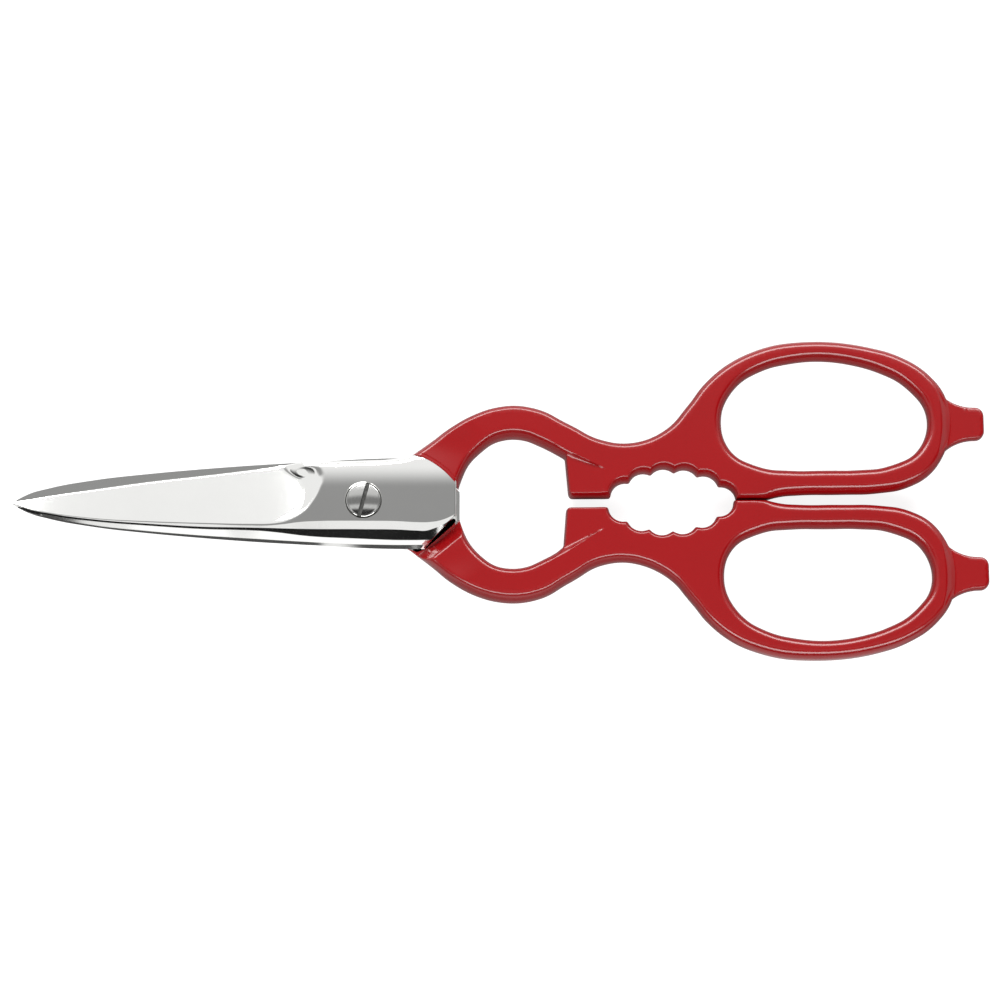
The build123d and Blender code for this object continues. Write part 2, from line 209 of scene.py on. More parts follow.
def arc(start, way, end, step):
    """Points of the arc that leaves start along way and reaches end, without the end."""
    chord = end - start
    size = np.linalg.norm(chord)
    lean = math.atan2(way[0] * chord[1] - way[1] * chord[0], way @ chord)
    count = max(2, math.ceil(size / step))
    shares = np.arange(count) / count
    stretch = np.sin(lean * shares) / math.sin(lean) if abs(lean) > 1e-4 else shares
    return start + size * stretch[:, None] * turned(way, lean * shares)


def flow(points, closed=False, step=0.2):
    """Smooth line of tangent arcs through points, two arcs to a span."""
    stops = np.array(points, float)
    if closed:
        stops = np.vstack([stops[-1:], stops, stops[:2]])
    chords = np.diff(stops, axis=0)
    sizes = np.linalg.norm(chords, axis=1)[:, None]
    ways = chords[:-1] / sizes[:-1] * sizes[1:] + chords[1:] / sizes[1:] * sizes[:-1]
    ways = unit_rows(ways)
    if closed:
        stops, chords = stops[1:-1], chords[1:-1]
    else:
        first, last = unit(chords[0]), unit(chords[-1])
        ways = np.vstack([2 * first * (first @ ways[0]) - ways[0], ways,
                          2 * last * (last @ ways[-1]) - ways[-1]])
    line = []
    for start, end, chord, leave, arrive in zip(stops, stops[1:], chords, ways, ways[1:]):
        bend, push = 2 * (1 - leave @ arrive), chord @ (leave + arrive)
        reach = chord @ chord / (push + math.sqrt(push ** 2 + bend * (chord @ chord)))
        near, far = start + leave * reach, end - arrive * reach
        middle = (near + far) / 2
        line += [arc(start, leave, middle, step), arc(middle, unit(far - near), end, step)]
    if not closed:
        line.append(stops[-1:])
    return np.vstack(line)


def straight(points, step=0.2):
    """Points along straight runs between corners, with the last corner."""
    line = []
    for start, end in zip(points, points[1:]):
        start, end = np.array(start, float), np.array(end, float)
        count = max(1, math.ceil(np.linalg.norm(end - start) / step))
        line.append(start + (end - start) * (np.arange(count) / count)[:, None])
    line.append(np.array(points[-1:], float))
    return np.vstack(line)


def eased(values, times):
    """Values round a closed line, each drawn to its neighbours so many times."""
    for _ in range(times):
        values = (np.roll(values, 1, 0) + 2 * values + np.roll(values, -1, 0)) / 4
    return values


def even(loop, step, ease):
    """A closed line with its points evenly apart and its corners eased to about a radius."""
    around = np.vstack([loop, loop[:1]])
    along = np.concatenate([[0], np.cumsum(np.linalg.norm(np.diff(around, axis=0), axis=1))])
    spots = np.linspace(0, along[-1], round(along[-1] / step), endpoint=False)
    loop = np.stack([np.interp(spots, along, around[:, k]) for k in (0, 1)], 1)
    return eased(loop, round(2 * (ease / step) ** 2))


def circle(radius, count):
    return radius * rays(np.arange(count) / count * 2 * math.pi)


def inside(loop, spots):
    """Which spots lie inside a closed line."""
    x, y = spots[:, 0], spots[:, 1]
    found = np.zeros(len(spots), bool)
    for (x0, y0), (x1, y1) in zip(loop, np.roll(loop, -1, 0)):
        if y0 != y1:
            found ^= ((y0 > y) != (y1 > y)) & (x < (x1 - x0) * (y - y0) / (y1 - y0) + x0)
    return found


def nearest(line, spots, closed=True):
    """Distance of each spot from a line, and the number of the run it is nearest to."""
    ends = np.roll(line, -1, 0) if closed else line[1:]
    starts = line if closed else line[:-1]
    runs = ends - starts
    squares = np.maximum((runs ** 2).sum(1), 1e-12)
    far, which = np.empty(len(spots)), np.empty(len(spots), int)
    for low in range(0, len(spots), BATCH):
        gap = spots[low:low + BATCH, None] - starts
        share = np.clip((gap * runs).sum(2) / squares, 0, 1)
        away = ((gap - share[..., None] * runs) ** 2).sum(2)
        which[low:low + BATCH] = away.argmin(1)
        far[low:low + BATCH] = np.sqrt(away.min(1))
    return far, which


def depth(loop, spots):
    """How deep each spot lies inside a closed line, below 0 outside it."""
    return nearest(loop, spots)[0] * np.where(inside(loop, spots), 1, -1)


def inward(loop, hole=False):
    """Unit directions into the material at each point of a closed line."""
    x, y = loop[:, 0], loop[:, 1]
    turning = math.copysign(1, (x * np.roll(y, -1) - np.roll(x, -1) * y).sum())
    ways = unit_rows(np.roll(loop, -1, 0) - np.roll(loop, 1, 0))
    return across_of(ways) * turning * (-1 if hole else 1)


def kept_run(loop, keep):
    """The kept run of a closed line, from its first point to its last."""
    first = np.flatnonzero(keep & ~np.roll(keep, 1))[0]
    return np.roll(loop, -first, 0)[np.roll(keep, -first)]


def soft_higher(one, other, soft):
    """The higher of two heights, with the crease between them filled softly."""
    return np.maximum(one, other) + np.maximum(soft - np.abs(one - other), 0) ** 2 / (4 * soft)


def edge_drop(radius, far):
    """How far a rounded edge has fallen at a distance inside it."""
    lip = np.clip(radius - far, 0, radius)
    return radius - np.sqrt(np.maximum(radius ** 2 - lip ** 2, 0))


def forging(name, loops, creases, spots, heights, seat, side):
    """Closed piece between two height fields over one triangulated plan.

    The plan's lines are the loops (the first is the outside) and the creases, and its
    other points are the spots. Heights are in mm from the mating plane of a half."""
    count, edges = 0, []
    for number, line in enumerate(loops + creases):
        size = len(line)
        spans = size if number < len(loops) else size - 1
        edges += [(count + k, count + (k + 1) % size) for k in range(spans)]
        count += size
    plan = delaunay_2d_cdt([Vector(p) for p in np.vstack([*loops, *creases, spots])],
                           edges, [], 0, 1e-5)
    verts = np.array([tuple(v) for v in plan[0]])
    faces = np.array([f for f in plan[2] if len(f) == 3])
    middles = verts[faces].mean(1)
    solid = inside(loops[0], middles)
    for hole in loops[1:]:
        solid &= ~inside(hole, middles)
    used, faces = np.unique(faces[solid], return_inverse=True)
    faces, verts = faces.reshape(-1, 3), verts[used]
    a, b, c = (verts[faces[:, k]] for k in range(3))
    flip = ((b - a)[:, 0] * (c - a)[:, 1] - (b - a)[:, 1] * (c - a)[:, 0]) < 0
    faces[flip] = faces[flip][:, ::-1]
    size = len(verts)
    rim = np.vstack([faces[:, [0, 1]], faces[:, [1, 2]], faces[:, [2, 0]]])
    known = {(i, j) for i, j in rim.tolist()}
    walls = [(i, i + size, j + size, j) for i, j in rim.tolist() if (j, i) not in known]
    low, high = heights(verts)
    height = np.concatenate([high, np.minimum(low, high - 0.01)])
    corners = np.column_stack([np.vstack([verts, verts]), height]) * [1, side, side]
    mesh = bpy.data.meshes.new(name)
    mesh.from_pydata((corners * MM).tolist(), [],
                     faces.tolist() + (faces[:, ::-1] + size).tolist() + walls)
    mesh.transform(Matrix.Translation(PIVOT) @ Matrix.Rotation(math.radians(seat), 4, "Z"))
    piece = bpy.data.objects.new(name, mesh)
    bpy.context.scene.collection.objects.link(piece)
    pick(piece)
    bpy.ops.object.mode_set(mode="EDIT")
    bpy.ops.mesh.select_all(action="SELECT")
    bpy.ops.mesh.remove_doubles(threshold=1e-7)
    bpy.ops.mesh.normals_make_consistent(inside=False)
    bpy.ops.object.mode_set(mode="OBJECT")
    return piece


def pick(piece):
    """Selects one piece alone and makes it the active one."""
    bpy.ops.object.select_all(action="DESELECT")
    piece.select_set(True)
    bpy.context.view_layer.objects.active = piece


def grid(low, high, pitch):
    """Spots of an even triangular pattern over a rectangle."""
    xs = np.arange(low[0], high[0], pitch)
    ys = np.arange(low[1], high[1], pitch * 0.866)
    x, y = np.meshgrid(xs, ys)
    x = x + (np.arange(len(ys)) % 2)[:, None] * pitch / 2
    return np.column_stack([x.ravel(), y.ravel()])


def thin(spots, pitch):
    """Drops spots that crowd within about a pitch of one another."""
    cells = np.round(spots / pitch).astype(int)
    _, first = np.unique(cells, axis=0, return_index=True)
    return spots[np.sort(first)]


def thin_line(line, step):
    """A line without points that crowd closer than a step."""
    kept = [line[0]]
    for spot in line[1:]:
        if np.linalg.norm(spot - kept[-1]) > step:
            kept.append(spot)
    return np.array(kept)


def mouth_spot(s, step, radius, shift, drop):
    """Place on an arc round the mouth's centre, so many teeth from the mouth's middle."""
    turn = math.radians(s.mouth_lean + step * s.tooth_pitch)
    centre = s.rise * MOUTH_FLOOR - s.rise * MOUTH_RADIUS
    return np.array([s.reach * MOUTH_ALONG - shift + radius * math.sin(turn),
                     centre + radius * math.cos(turn) - drop])


def handle_loop(s, side, shift):
    """Closed outline of rib, waist, lug, mouth and bow, and its edge radii."""
    def spots(shares, extra):
        return [(s.reach * along, s.rise * across + np.interp(along, UNEVEN[:, 0], extra))
                for along, across in shares]

    nearer = UNEVEN[:, 3] * (side > 0)
    pad = np.array([s.reach * PAD_ALONG, s.pad_gap / 2])
    outer = flow(spots(OUTER_SHARES[:BOW_END], UNEVEN[:, 1 if side > 0 else 2])
                 + spots(OUTER_SHARES[BOW_END:], 0 * nearer) + [pad])
    radius, drop = s.rise * MOUTH_RADIUS, MOUTH_NEARER * (side > 0)
    first, last = (mouth_spot(s, step, radius, shift, drop) for step in (-3, 3))
    teeth = []
    for step in range(3, -3, -1):
        start, top, end = (mouth_spot(s, step - part, radius + high, shift, drop)
                           for part, high in ((0, 0), (0.5, s.tooth_height), (1, 0)))
        chord = end - start
        rise = np.linalg.norm(top - (start + end) / 2)
        lean = 2 * math.atan(2 * rise / np.linalg.norm(chord))
        teeth.append(arc(start, turned(unit(chord), -lean), end, CORNER_STEP))
    near, root = s.reach * LUG_NEAR - shift, s.rise * LUG_ROOT - drop
    edge = s.lug_edge + LUG_UNEVEN[side]
    tip = np.array([near + s.lug_slant, edge])
    before, after = tip + [s.lug_corner, 0], tip + [0, s.lug_corner]
    eye = flow(spots(EYE_SHARES, -nearer))[::-1]
    lug = np.vstack([straight([first, (first[0], edge), before]),
                     arc(before, np.array([-1.0, 0.0]), after, CORNER_STEP),
                     straight([after, (near, root), eye[0]])])
    parts = [(outer, s.rib_round),
             (straight([pad, (last[0], s.pad_gap / 2), last]), s.pad_round)]
    parts += [(tooth, s.tooth_round) for tooth in teeth]
    parts += [(lug, s.lug_round), (eye, s.rib_round),
              (straight([eye[-1], outer[0]])[1:-1], s.rib_round)]
    loop = np.vstack([line for line, _ in parts])
    rounds = np.concatenate([np.full(len(line), size) for line, size in parts])
    return loop, rounds


def stub_loop(s):
    """Closed outline of the prising stub, with its flared root."""
    middle, half = s.rise * STUB_ACROSS, s.stub_width / 2
    neck, root, end, corner = s.reach * STUB_NECK, s.reach * STUB_ROOT, s.reach, s.stub_corner
    sides = []
    for way in (1, -1):
        flare = arc(np.array([neck, middle + way * half]), np.array([-1.0, 0.0]),
                    np.array([root, middle + way * s.stub_flare]), 0.2)[::-1]
        start = np.array([end - corner, middle + way * half])
        stop = np.array([end, middle + way * (half - corner)])
        rounding = arc(start, np.array([1.0, 0.0]), stop, CORNER_STEP)
        sides.append(np.vstack([flare, straight([flare[-1], start]), rounding, stop[None]]))
    return np.vstack([sides[0], sides[1][::-1]])


def rounded(s, half, radius, far):
    """Height over an edge whose section is a quarter of a tall ellipse."""
    rise = np.maximum(half - s.edge_flat, half * 0.6)
    share = np.clip(1 - far / radius, 0, 1)
    return half - rise + rise * np.sqrt(1 - share ** 2) + np.minimum(far, 0) * OUTSIDE_FALL


def handle_piece(s, name, side, shift):
    """One lacquered handle, in the plane of its half."""
    loop, rounds = handle_loop(s, side, shift)
    body = even(loop, OUTLINE_STEP, 0.3)
    radii = rounds[nearest(loop, body)[1]]
    bow = fade(*(s.reach * share for share in BOW_SOFTENS), body[:, 0])
    softer = s.rib_round + (s.bow_round - s.rib_round) * bow
    radii = eased(np.where(radii == s.rib_round, softer, radii), RADIUS_EASING)
    stub = even(stub_loop(s), OUTLINE_STEP, 0.15)
    hole = even(flow([(s.reach * (HOLE_MIDDLE[0] + HOLE_SIZE[0] / 2 * along),
                       s.rise * (HOLE_MIDDLE[1] + HOLE_SIZE[1] / 2 * across))
                      for along, across in HOLE_SHARES], closed=True), OUTLINE_STEP, 0.2)

    # The stub joins the bow's outside, and the lacquer ends on the boss along a curve. On
    # the mating side it starts further in, but not beside the other boss's corner
    outer_run, stub_run = kept_run(body, ~inside(stub, body)), stub[~inside(body, stub)]
    gaps = [np.linalg.norm(outer_run[-1] - end) for end in (stub_run[0], stub_run[-1])]
    welded = np.vstack([outer_run, stub_run[::-1] if gaps[0] > gaps[1] else stub_run])
    middle = turned((s.paint_along, -s.paint_across), -math.radians(s.turn) * side)

    def paint_start(x):
        return s.paint_radius - s.skin * smooth((CORNER_END - x) / 0.3)

    bare = np.linalg.norm(welded - middle, axis=1) < paint_start(welded[:, 0])
    kept = kept_run(welded, ~(bare | (welded[:, 0] < s.paint_along)))
    turns = [math.atan2(*(kept[k] - middle)[::-1]) for k in (-1, 0)]
    count = round(abs(turns[1] - turns[0]) * s.paint_radius / OUTLINE_STEP)
    ways = rays(np.linspace(*turns, count)[1:-1])
    edge = middle + ways * paint_start(middle[0] + s.paint_radius * ways[:, :1])
    outside = np.vstack([kept, edge])

    lug_ridge = LUG_RIDGE + np.column_stack([0 * REAR_LUG_LIFT, REAR_LUG_LIFT * (side < 0)])
    lap_ways = rays(math.radians(s.lap_lean) + np.array([0, math.pi / 2]))
    floor = -s.ride_gap / 2

    def room(spots):
        """How deep spots lie between the piece's outline and its hole."""
        return np.minimum(depth(outside, spots), -depth(hole, spots))

    def past_paint(spots):
        return np.linalg.norm(spots - middle, axis=1) - s.paint_radius

    def past_lap(spots):
        return spots @ lap_ways[0] - s.lap_reach

    def half_thick(spots):
        """Rib, waist and bow along the handle, with the rib fading out beside the lug."""
        along = spots[:, 0] / s.reach
        rib, waist, bow = s.rib_thick / 2, s.waist_thick / 2, s.bow_thick / 2
        thick = rib + (waist - rib) * fade(*RIB_TO_WAIST, along)
        thick = thick + (bow - waist) * fade(*WAIST_TO_BOW, along)
        x = spots[:, 0] + shift
        ridge = np.interp(x, *lug_ridge.T)
        foot = ridge - np.interp(x, *SLOPE_WIDTHS)
        rise = np.clip((spots[:, 1] - foot) / np.maximum(ridge - foot, 0.25), 0, 1) ** 1.15
        beside = fade(*SLOPE_STARTS, x) * (1 - fade(*SLOPE_ENDS, x))
        return thick - (thick - waist) * (1 - rise) * beside

    def outer_face(spots, far, radius, stub_far, paint):
        half = half_thick(spots)
        lip = past_paint(spots)
        half = half - s.bead * (1 - smooth((lip - s.bead_wide) / 0.18))
        half = half - crown_drop(s, spots[:, 1]) * (1 - smooth(lip / CROWN_FADE))
        main = rounded(s, half, radius + s.stub_valley * smooth((stub_far + 0.3) / 2.3), far)
        stubs = rounded(s, np.full(len(spots), s.stub_thick / 2), 0.5, stub_far)
        both = np.where(stub_far > -1, soft_higher(main, stubs, STUB_SOFT), main)
        both = both - edge_drop(0.2, paint)
        return np.where(paint < -0.01, np.minimum(both, 0.9), both)

    def mating_face(spots, far, radius, stub_far, paint):
        full = outer_face(spots, far, radius, stub_far, np.abs(paint) + 1)
        step = past_lap(spots)
        rise = np.clip((step + s.lap_slope) / s.lap_slope, 0, None) ** 1.1
        eased_edge = WALL_EDGE - rounded(s, WALL_EDGE, WALL_EDGE, np.maximum(far, 0))
        wall = floor + (s.rib_thick / 2 - floor) * rise - eased_edge
        low = -soft_higher(-full, -wall, WALL_SOFT)
        low = np.where(step > 2, full, low)
        low = np.where(paint < 0.8, np.minimum(low, floor + 0.01), low)
        return np.where((paint < 0.6) & (spots[:, 0] > CORNER_END), floor - 0.3, low)

    def heights(spots):
        out_run = nearest(body, spots)[1]
        out_far, hole_far = depth(body, spots), nearest(hole, spots)[0]
        radius = np.where(hole_far < out_far, s.bow_round, radii[out_run])
        reads = np.minimum(out_far, hole_far), radius, depth(stub, spots), past_paint(spots)
        return -mating_face(spots, *reads), outer_face(spots, *reads)

    # Rows of spots follow the edges' roundings, with finer spots beside the lug, at the
    # stub's root and at the half-lap
    rows = [line + inward(line, gap) * (sizes * share)[:, None]
            for line, sizes, gap in ((body, radii, False),
                                     (hole, np.full(len(hole), s.bow_round), True))
            for share in EDGE_ROWS]
    rows += [stub + inward(stub) * 0.5 * share for share in EDGE_ROWS[::2]]
    near_stub = [(s.reach * along, across) for along, across in ((0.92, 5), (0.965, 26))]
    fine = [grid(*box, 0.3) for box in (((37, 6), (50, 15)), near_stub, ((2, -1), (24, 17)))]
    spots = np.vstack([*rows, *fine, grid((0, 0), (s.reach, s.rise + 2), 0.9)])
    ridge = straight((lug_ridge - [shift, 0]).tolist(), 0.15)
    beside_ridge = nearest(ridge, spots, closed=False)[0] < 0.45
    deep = room(spots)
    spots = thin(spots[(deep > 0.02) & ~(beside_ridge & (deep > 1.7))], 0.03)

    # Other lines of spots follow the lacquer's edge, the half-lap's step and the lug's ridge
    ways = rays(np.arange(-0.3, 1.7, 0.012))
    lines = [middle + (s.paint_radius + gap) * ways for gap in PAINT_ROWS]
    steps = s.lap_reach + np.concatenate([np.arange(-s.lap_slope, -0.4, 0.3), LAP_ROWS])
    laps = [step * lap_ways[0] + np.arange(-16, 16, 0.2)[:, None] * lap_ways[1] for step in steps]
    lines += [line[nearest(body, line)[0] > 1.65] for line in laps]
    across_ridge = across_of(unit(ridge[-1] - ridge[0])[None])
    ridges = [ridge + across_ridge * gap for gap in RIDGE_ROWS]
    lines += [line[nearest(body, line)[0] > 1.7] for line in ridges]
    lines = [line[room(line) > 0.16] for line in lines]
    free, step = past_paint(spots), past_lap(spots)
    on_lap = (step > -s.lap_slope - 0.1) & (step < 0.5) & (spots[:, 0] < 26)
    on_lap &= nearest(body, spots)[0] > 1.7
    spots = np.vstack([spots[((free > 1.05) | (free < -0.55)) & ~on_lap], *lines])
    spots = thin(spots[nearest(outside, spots)[0] > 0.02], 0.025)
    return forging(name, [outside, hole], [], spots, heights, s.turn, side)


def profile(line):
    """Height of a smooth line through points, at any places along it."""
    dense = flow(line, step=0.3)
    return lambda places: np.interp(places, dense[:, 0], dense[:, 1])


def crown_drop(s, y):
    """How far the boss's face falls away to either side."""
    over = np.maximum(y - s.crown_start, 0)
    bend = np.minimum(over, CROWN_BEND)
    return (bend * (over - bend / 2) / s.crown_radius
            + (y - FACE_CENTRE) ** 2 / (2 * s.face_radius))


def blade_piece(s, name, side, boss_end, bore):
    """Blade and boss of a half, flat on its mating side, with facets on the other."""
    tip = np.array([[-s.blade_reach, 0.15]])
    cutting = flow(CUTTING_EDGE, step=0.3)
    spine = np.vstack([flow(SPINE, step=0.3)[:-1], straight(BOSS_CORNER, 0.3)])
    top = flow(BOSS_EDGE, step=0.3)
    middle = np.array([s.paint_along, -s.paint_across])
    reach = s.paint_radius + s.tuck
    top = top[np.linalg.norm(top - middle, axis=1) < reach]
    last_turn = math.acos((boss_end - middle[0]) / reach)
    rim = middle + reach * rays(np.linspace(math.atan2(*(top[-1] - middle)[::-1]), last_turn, 60))
    end = straight([rim[-1], (boss_end, spine[-1][1] + boss_end - spine[-1][0]), spine[-1]], 0.15)
    outside = np.vstack([tip, cutting[:-1], top, rim[1:], end[1:-1], spine[::-1]])
    outside = thin_line(outside, 0.05)

    edge = profile(CUTTING_EDGE)
    across = [profile([(x, y) for x, y, _ in line]) for line in FACET_LINES]
    heights = [profile([(x, z) for x, _, z in line]) for line in FACET_LINES]
    foot = thin_line(spine, 0.05)
    shoulder = profile(SHOULDER_LINE)
    shoulder_line = flow([(x, y) for y, x in SHOULDER_LINE], step=0.3)
    rims = np.vstack([cutting[:-1], top])
    low = s.ride_gap / 2

    def bevel(x):
        return s.edge_bevel * (0.3 + 0.7 * smooth((x + s.blade_reach) / 20))

    def facets(x):
        """Places across and heights of the lines from the cutting edge to the foot."""
        wide, sharp = bevel(x), low + 0.04 + 0 * x
        ys = [edge(x), edge(x) - wide] + [line(x) for line in across] + [np.interp(x, *foot.T)]
        zs = [sharp, sharp + wide * BEVEL_SLOPE] + [line(x) for line in heights] + [sharp]
        return ys, zs

    def top_face(points):
        x, y = points[:, 0], points[:, 1]
        ys, zs = facets(x)
        runs = [z0 + (z1 - z0) * np.clip((y - y0) / np.minimum(y1 - y0, -1e-4), 0, 1)
                for y0, z0, y1, z1 in zip(ys, zs, ys[1:], zs[1:])]
        face = runs[-1]
        for y1, run in list(zip(ys[1:], runs))[-2::-1]:
            face = np.where(y > y1, run, face)

        # The ground face climbs over the shoulder to the boss's face, which is a little full
        past = nearest(shoulder_line, points, closed=False)[0] * np.sign(x - shoulder(y))
        fall = np.clip(zs[2] - face, 0, 3)
        climb = smooth(past / (s.ramp_foot + s.ramp * fall ** 2) + 1)
        plateau = zs[2] - crown_drop(s, y) - edge_drop(s.boss_round, np.interp(x, *rims.T) - y)
        face = np.where(y > ys[3], face + (plateau - face) * climb, face)
        face = face - edge_drop(s.end_round, boss_end - x)
        around = np.hypot(x, y)
        if side > 0:
            face = face - np.maximum(s.recess + s.recess_ease - around, 0)
            face = np.where(around < s.recess + 0.01, s.boss_thick - s.head_sink, face)
        return np.maximum(face, low + 0.02)

    # Rows of points beside the facet lines and along them, station by station
    stations = np.concatenate([np.arange(-71.7, -20, 0.4), np.arange(-20, CORNER_END, 0.3)])
    ys, _ = facets(stations)
    rows = []
    for number, (upper, lower) in enumerate(zip(ys, ys[1:])):
        wide = upper - lower
        near = np.minimum(0.07, wide * 0.2)
        inner = 1 + math.ceil(wide.max() / (0.75 if number == 1 else 0.35))
        places = [upper - near, lower + near]
        places += [upper - near - (wide - 2 * near) * k / inner for k in range(1, inner)]
        rows += [np.column_stack([stations, place])[wide > 0.05] for place in places]
    spots = np.vstack(rows)
    spots = spots[(spots[:, 1] < across[0](spots[:, 0]) - 0.02) | (spots[:, 0] < FACE_START)]

    # An even pattern over the boss's face, and rows along its two rounded edges
    boss = grid((FACE_START, -5), (20, 14), 0.3)
    boss = boss[boss[:, 1] > across[0](boss[:, 0]) + 0.15]
    at_blade = boss[:, 0] <= BLADE_END
    boss = boss[~at_blade | (boss[:, 1] < edge(boss[:, 0]) - bevel(boss[:, 0]) - 0.1)]
    boss = boss[(nearest(top, boss, closed=False)[0] > 1.8) | (boss[:, 0] < BLADE_END)]
    boss = boss[boss[:, 0] < boss_end - 0.5]
    outward = across_of(unit_rows(np.gradient(top, axis=0)))
    beside = [top - outward * gap for gap in (0.04, 0.1, 0.2, 0.33, 0.5, 0.7, 0.95, 1.25, 1.6)]
    heads = np.arange(-3.6, 9, 0.15)
    lip = [np.column_stack([boss_end - gap + 0 * heads, heads])
           for gap in (0.04, 0.1, 0.18, 0.28, 0.42)]
    spots = thin(np.vstack([*beside, *lip, spots, boss]), 0.035)
    spots = spots[inside(outside, spots)]
    creases = []
    for number, line in enumerate([edge(stations) - bevel(stations)] + ys[2:-1]):
        line = np.column_stack([stations, line])[stations < (-13 if number < 2 else 30)]
        creases.append(line[depth(outside, line) > 0.03])
    if side > 0:
        rings = [circle(s.recess + wider, 96) for wider in (0, 0.02, s.recess_ease)]
        creases += [np.vstack([ring, ring[:1]]) for ring in rings]
    away = [nearest(line, spots, closed=False)[0] for line in creases]
    away.append(nearest(outside, spots)[0])
    around = np.hypot(*spots.T)
    clear = (np.min(away, 0) > 0.02) & (around > bore + 0.3)
    if side > 0:
        clear &= np.abs(around - s.recess - s.recess_ease / 2) > s.recess_ease / 2 + 0.1
    return forging(name, [outside, circle(bore, 64)], creases, spots[clear],
                   lambda points: (np.full(len(points), low), top_face(points)), 0, side)


def linear(hex_colour):
    """sRGB hex, such as B01E22, as linear red, green, blue and full alpha."""
    parts = [int(hex_colour[k:k + 2], 16) / 255 for k in (0, 2, 4)]
    return (*(p / 12.92 if p <= 0.04045 else ((p + 0.055) / 1.055) ** 2.4 for p in parts), 1.0)


def add_node(material, kind, settings=(), values=(), links=()):
    """Adds a shader node with its settings, socket values and what feeds its sockets: an
    output, or the first output of a node."""
    tree = material.node_tree
    node = tree.nodes.new("ShaderNode" + kind)
    for name, value in dict(settings).items():
        setattr(node, name, value)
    for name, value in dict(values).items():
        node.inputs[name].default_value = value
    for name, source in dict(links).items():
        tree.links.new(getattr(source, "outputs", [source])[0], node.inputs[name])
    return node


def new_material(name):
    material = bpy.data.materials.new(name)
    material.use_nodes = True
    material.node_tree.nodes.clear()
    return material


def finished(material, shader):
    add_node(material, "OutputMaterial", links={"Surface": shader})
    return material


def streaks(material, spacing, length=None, scale_axes=("short", "short", "short")):
    """Noise from the spacing of its marks in mm, drawn out to a length along one axis."""
    where = add_node(material, "TexCoord")
    scale = [1 / ((length if axis == "long" else spacing) * MM) for axis in scale_axes]
    mapped = add_node(material, "Mapping", values={"Scale": scale},
                      links={"Vector": where.outputs["Object"]})
    return add_node(material, "TexNoise", values={"Scale": 1.0, "Detail": 3.0, "Roughness": 0.55},
                    links={"Vector": mapped})


def surface(material, values, tones, rough=None, relief=None):
    """Finishes a material. Each look follows a pattern between two ends: the tones as sRGB
    hex, the roughness, and the relief as a bump's strength and its height in metres."""
    cloud, dark, light = tones
    mix = add_node(material, "Mix", {"data_type": "RGBA"}, {6: linear(dark), 7: linear(light)},
                   {0: cloud} if cloud else {})
    links = {"Base Color": mix.outputs[2]}
    if rough:
        pattern, low, high = rough
        links["Roughness"] = add_node(material, "MapRange", values={"To Min": low, "To Max": high},
                                      links={"Value": pattern})
    if relief:
        pattern, strength, height = relief
        links["Normal"] = add_node(material, "Bump", links={"Height": pattern},
                                   values={"Strength": strength, "Distance": height})
    return finished(material, add_node(material, "BsdfPrincipled", values=values, links=links))


def polished_steel(colours):
    """Stainless steel, forged, ground across the blade and polished: bright mirror-like
    reflections, very slightly streaked across by the last grinding belt. The marks are
    really about 0.03 mm apart, and are drawn at 0.3 mm so that they show."""
    material = new_material("polished_stainless_steel")
    marks = streaks(material, 0.3, 14.0, ("short", "long", "short"))
    return surface(material, {"Metallic": 1.0},
                   (streaks(material, 9.0), colours.steel_shade, colours.steel),
                   (marks, 0.05, 0.1), (marks, 0.12, 0.000004))


def turned_steel(colours):
    """Stainless steel, turned on a lathe and polished: the same bright metal, with faint
    rings round the screw's axis, drawn at 0.35 mm so that they show."""
    material = new_material("turned_stainless_steel")
    where = add_node(material, "TexCoord")
    centred = add_node(material, "Mapping", values={"Location": [-PIVOT.x, -PIVOT.y, 0]},
                       links={"Vector": where.outputs["Object"]})
    rings = add_node(material, "TexWave", {"wave_type": "RINGS", "rings_direction": "Z"},
                     {"Scale": 0.314 / (0.35 * MM) / 2, "Distortion": 0.6, "Detail": 2.0},
                     {"Vector": centred}).outputs["Fac"]
    return surface(material, {"Metallic": 1.0}, (None, colours.screw, colours.screw),
                   (rings, 0.12, 0.15), (rings, 0.02, 0.000002))


def sawn_steel(colours):
    """Stainless steel as the saw left it in the screw's slot: darker and dull, with darker patches.
    """
    material = new_material("sawn_stainless_steel")
    cloud = streaks(material, 0.5)
    return surface(material, {"Metallic": 1.0}, (cloud, colours.slot_shade, colours.slot),
                   (cloud, 0.3, 0.55))


def red_lacquer(colours):
    """Thick baked lacquer over forged steel: deep red with a clear, wet-looking gloss and
    a faint orange peel, its waves about 1.6 mm apart."""
    material = new_material("baked_red_lacquer")
    return surface(material, {"Roughness": 0.22, "IOR": 1.5},
                   (streaks(material, 14.0), colours.lacquer_shade, colours.lacquer),
                   relief=(streaks(material, 1.6), 0.25, 0.00001))


def length(mm, description):
    return bpy.props.FloatProperty(description=description, default=mm * MM, unit="LENGTH",
                                   precision=5)


def colour(hex_colour, description):
    return bpy.props.StringProperty(default=hex_colour, description=description + ", sRGB hex")


def amount(value, description):
    return bpy.props.FloatProperty(description=description, default=value)


def angle(degrees, description):
    return bpy.props.FloatProperty(description=description, default=math.radians(degrees),
                                   subtype="ANGLE")


